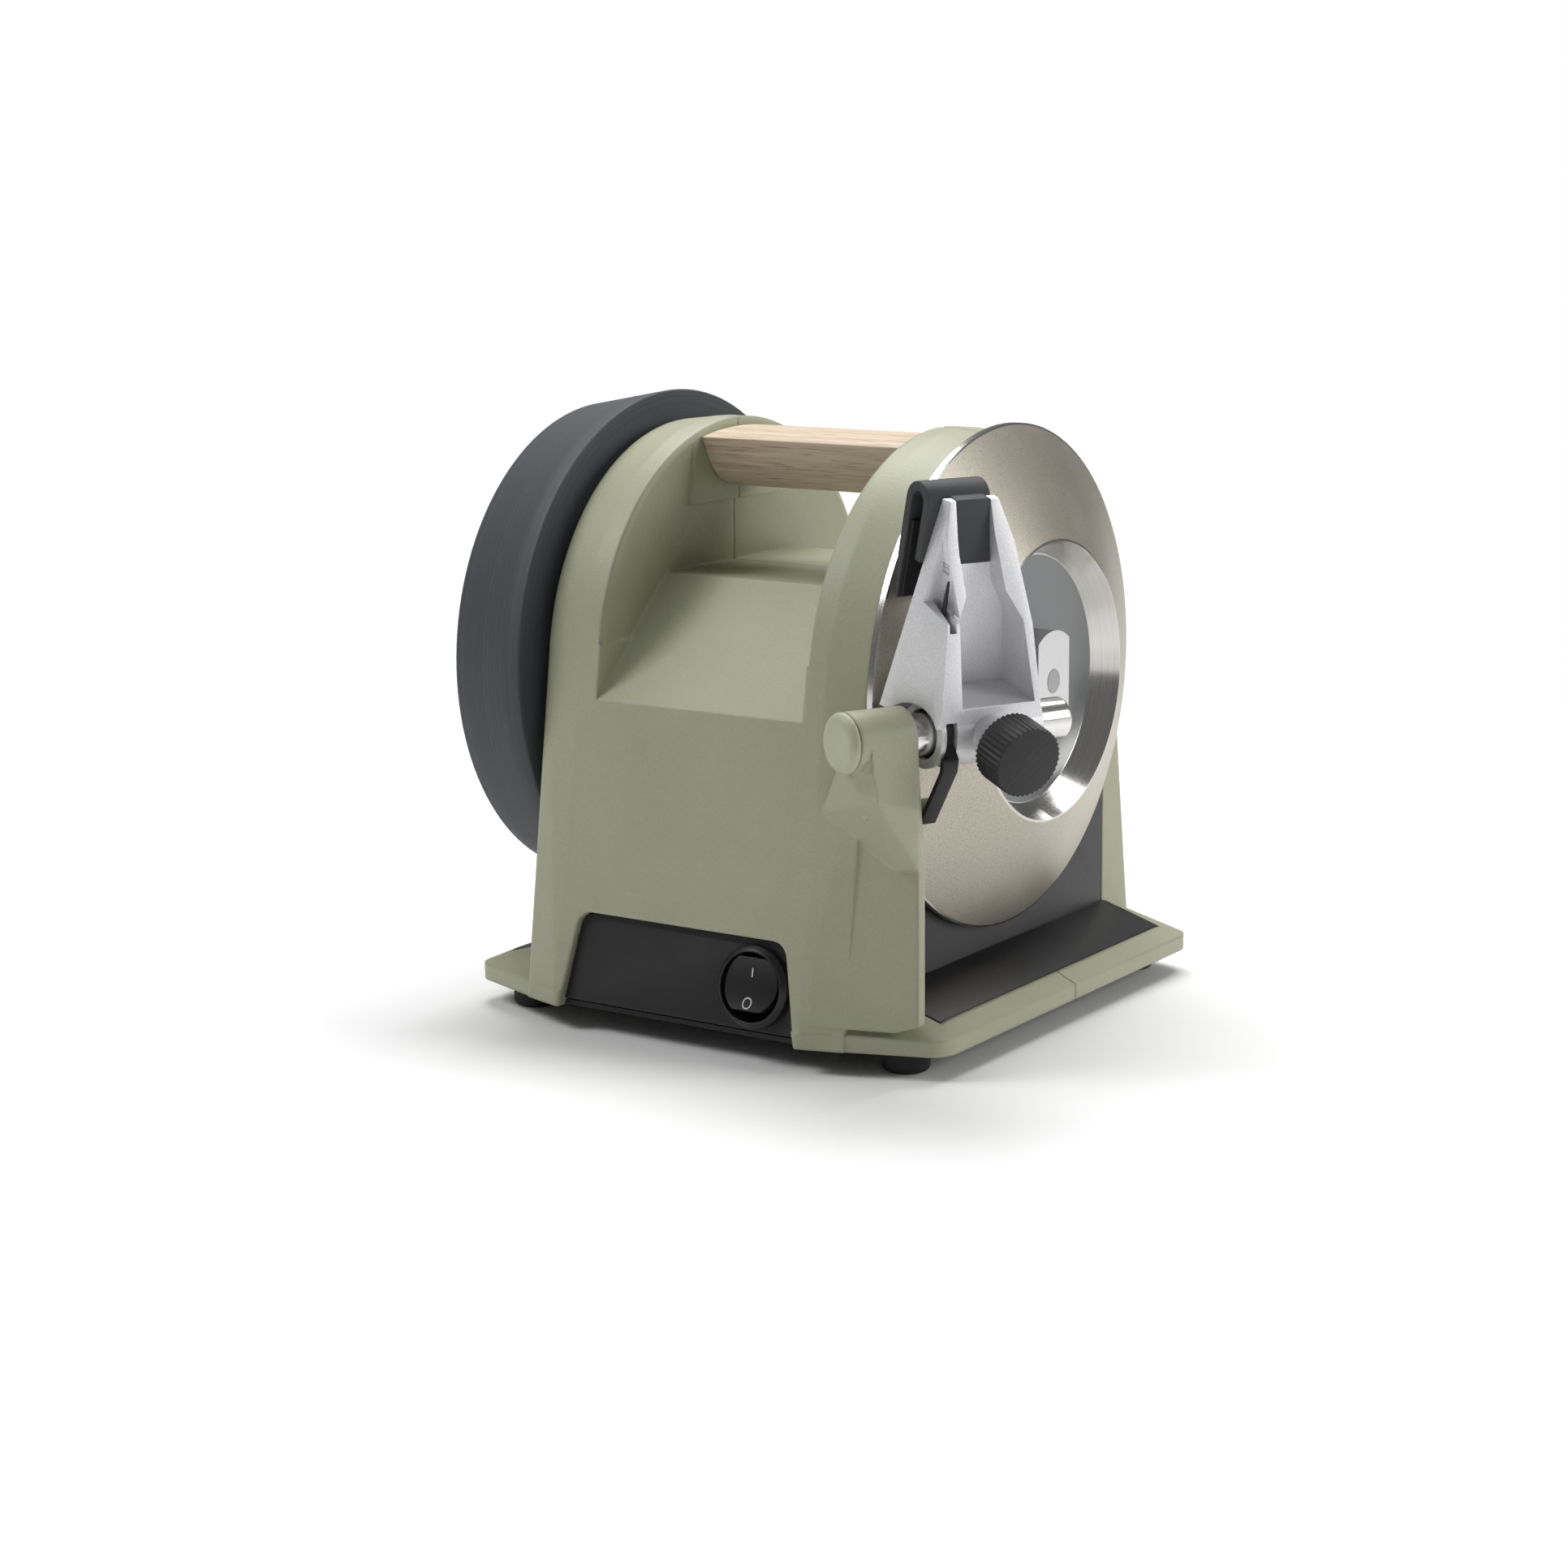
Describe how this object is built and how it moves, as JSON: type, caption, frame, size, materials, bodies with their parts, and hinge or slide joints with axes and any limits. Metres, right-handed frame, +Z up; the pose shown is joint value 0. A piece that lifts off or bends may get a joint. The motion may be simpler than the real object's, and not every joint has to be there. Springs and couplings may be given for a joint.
{
  "type": "bench knife sharpener",
  "caption": "Bench knife sharpener: conical diamond wheel, conical honing wheel, cast casing with an oak handle, and a tilting knife guide sliding on a steel bar.",
  "frame": {"origin": "on the table plane under the middle of the wheel axle, midway between the two arches", "axes": "+X along the axle towards the diamond wheel, +Y to the back, +Z up"},
  "size_m": [0.2007, 0.1892, 0.1833],
  "materials": {
    "green": "matt cast enamel",
    "oak": "oiled oak",
    "black": "fine grain",
    "rubber": "matt",
    "strap": "matt",
    "steel": "brushed",
    "bright": "polished",
    "diamond": "fine diamond grain",
    "hone": "ground composite",
    "cast": "fine cast",
    "guide": "satin cast",
    "copper": "enamelled wire",
    "bronze": "plain",
    "pale": "plain",
    "dark_plastic": "smooth",
    "laminated": "laminated"
  },
  "bodies": {
    "housing": {"front_casing": "green", "rear_casing": "green", "oak_handle": "oak", "handle_screws": "steel", "casing_screws": "steel", "bottom_plate": "black", "rubber_feet": "rubber", "foot_screws": "steel", "front_panel": "black", "rear_panel": "black", "cable_gland": "dark_plastic", "left_side_cover": "black", "right_side_cover": "black", "switch_body": "dark_plastic", "switch_bezel": "dark_plastic", "stator_core": "laminated", "motor_windings": "copper", "motor_left_bell": "cast", "motor_right_bell": "cast", "motor_bolts": "steel", "motor_cradle": "steel", "motor_bearings": "steel", "run_capacitor": "pale", "terminal_block": "pale", "shaft_bearings": "steel", "guide_bar": "bright", "bar_cap": "green"},
    "wheels": {"wheel_shaft": "steel", "spacer_sleeves": "steel", "drive_wheel_disc": "cast", "drive_wheel_tyre": "rubber", "diamond_wheel": "diamond", "honing_ring": "hone", "honing_hub": "cast", "honing_lock_nut": "steel"},
    "lock_nut": {"diamond_lock_nut": "bright"},
    "rotor": {"rotor_core": "laminated", "motor_shaft": "steel", "cooling_fan": "black"},
    "rocker": {"switch_rocker": "dark_plastic"},
    "lever": {"guide_lever": "black"},
    "guide": {"guide_body": "guide", "guide_bush": "bronze", "guide_strap": "strap", "guide_pad": "strap"},
    "knob": {"angle_knob": "black", "angle_screw": "steel"}
  },
  "joints": [
    {"name": "wheel_spin", "type": "hinge", "parent": "housing", "child": "wheels", "pos_m": [0, 0, 0.103], "axis": [1, 0, 0], "continuous": true},
    {"name": "lock_nut_turn", "type": "hinge", "parent": "wheels", "child": "lock_nut", "pos_m": [0.07, 0, 0.103], "axis": [1, 0, 0], "range_deg": [0, 60]},
    {"name": "rotor_spin", "type": "hinge", "parent": "housing", "child": "rotor", "pos_m": [0, 0.03, 0.04806], "axis": [1, 0, 0], "continuous": true},
    {"name": "switch_rock", "type": "hinge", "parent": "housing", "child": "rocker", "pos_m": [0.0265, -0.0817, 0.02183], "axis": [1, 0, 0], "range_deg": [0, 16]},
    {"name": "guide_slide", "type": "slide", "parent": "housing", "child": "lever", "axis": [0.4226, 0.9063, 0], "range_m": [-0.001, 0.006]},
    {"name": "guide_tilt", "type": "hinge", "parent": "lever", "child": "guide", "pos_m": [0.0637, -0.0945, 0.0985], "axis": [0.4226, 0.9063, 0], "range_deg": [-5, 5]},
    {"name": "knob_turn", "type": "hinge", "parent": "guide", "child": "knob", "pos_m": [0.08182, -0.05661, 0.10004], "axis": [0.8754, -0.4082, -0.2588], "range_deg": [-180, 180]}
  ],
  "couplings": [
    {"joint": "rotor_spin", "follows": "wheel_spin", "ratio": -10.755},
    {"joint": "knob_turn", "follows": "guide_tilt", "ratio": 30}
  ]
}
